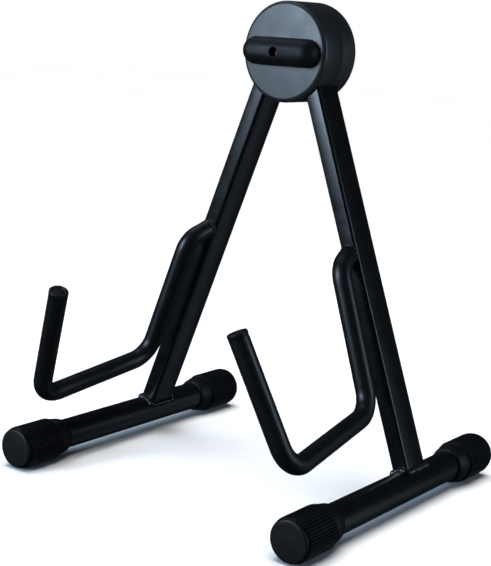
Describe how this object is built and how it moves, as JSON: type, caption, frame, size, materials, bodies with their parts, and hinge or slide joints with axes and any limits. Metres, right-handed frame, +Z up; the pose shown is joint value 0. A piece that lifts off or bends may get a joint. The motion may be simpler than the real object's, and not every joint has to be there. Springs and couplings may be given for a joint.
{
  "type": "guitar stand",
  "caption": "Folding A-frame guitar stand: two geared legs on a round head with a rubber bumper, foot bars with ribbed rubber caps and sleeved cradle arms.",
  "frame": {"origin": "on the floor, at the middle of the bounding box, with the legs open", "axes": "+Z up, -Y the front that faces the guitar, +X to the right seen from the front"},
  "size_m": [0.3222, 0.3026, 0.4039],
  "materials": {
    "housing_plastic": "satin moulded ABS",
    "bumper_rubber": "smooth matt rubber",
    "cap_rubber": "moulded matt rubber",
    "plug_rubber": "moulded matt rubber",
    "sleeve_foam": "smooth-skinned foam",
    "powder_coat": "satin black powder coat",
    "steel": "zinc plated",
    "nylon": "natural nylon"
  },
  "bodies": {
    "head": {"front_housing": "housing_plastic", "rear_housing": "housing_plastic", "bumper": "bumper_rubber", "bumper_screw": "steel", "housing_screw_right": "steel", "housing_screw_top": "steel", "housing_screw_left": "steel", "housing_screw_bottom": "steel", "left_pivot_pin": "steel", "right_pivot_pin": "steel", "left_front_washer": "nylon", "left_rear_washer": "nylon", "right_front_washer": "nylon", "right_rear_washer": "nylon"},
    "left_leg": {"left_leg_tube": "powder_coat", "left_leg_gear": "nylon", "left_upper_rivet": "steel", "left_lower_rivet": "steel", "left_foot_bar": "powder_coat", "left_front_cap": "cap_rubber", "left_rear_cap": "cap_rubber", "left_arm_rod": "powder_coat", "left_arm_sleeve": "sleeve_foam", "left_arm_plug": "plug_rubber"},
    "right_leg": {"right_leg_tube": "powder_coat", "right_leg_gear": "nylon", "right_upper_rivet": "steel", "right_lower_rivet": "steel", "right_foot_bar": "powder_coat", "right_front_cap": "cap_rubber", "right_rear_cap": "cap_rubber", "right_arm_rod": "powder_coat", "right_arm_sleeve": "sleeve_foam", "right_arm_plug": "plug_rubber"}
  },
  "joints": [
    {"name": "left_leg_fold", "type": "hinge", "parent": "head", "child": "left_leg", "pos_m": [-0.01575, 0.03935, 0.362], "axis": [0, -1, 0], "range_deg": [0, 19.5]},
    {"name": "right_leg_fold", "type": "hinge", "parent": "head", "child": "right_leg", "pos_m": [0.01575, 0.03935, 0.362], "axis": [0, 1, 0], "range_deg": [0, 19.5]}
  ],
  "couplings": [
    {"joint": "right_leg_fold", "follows": "left_leg_fold", "ratio": 1}
  ]
}
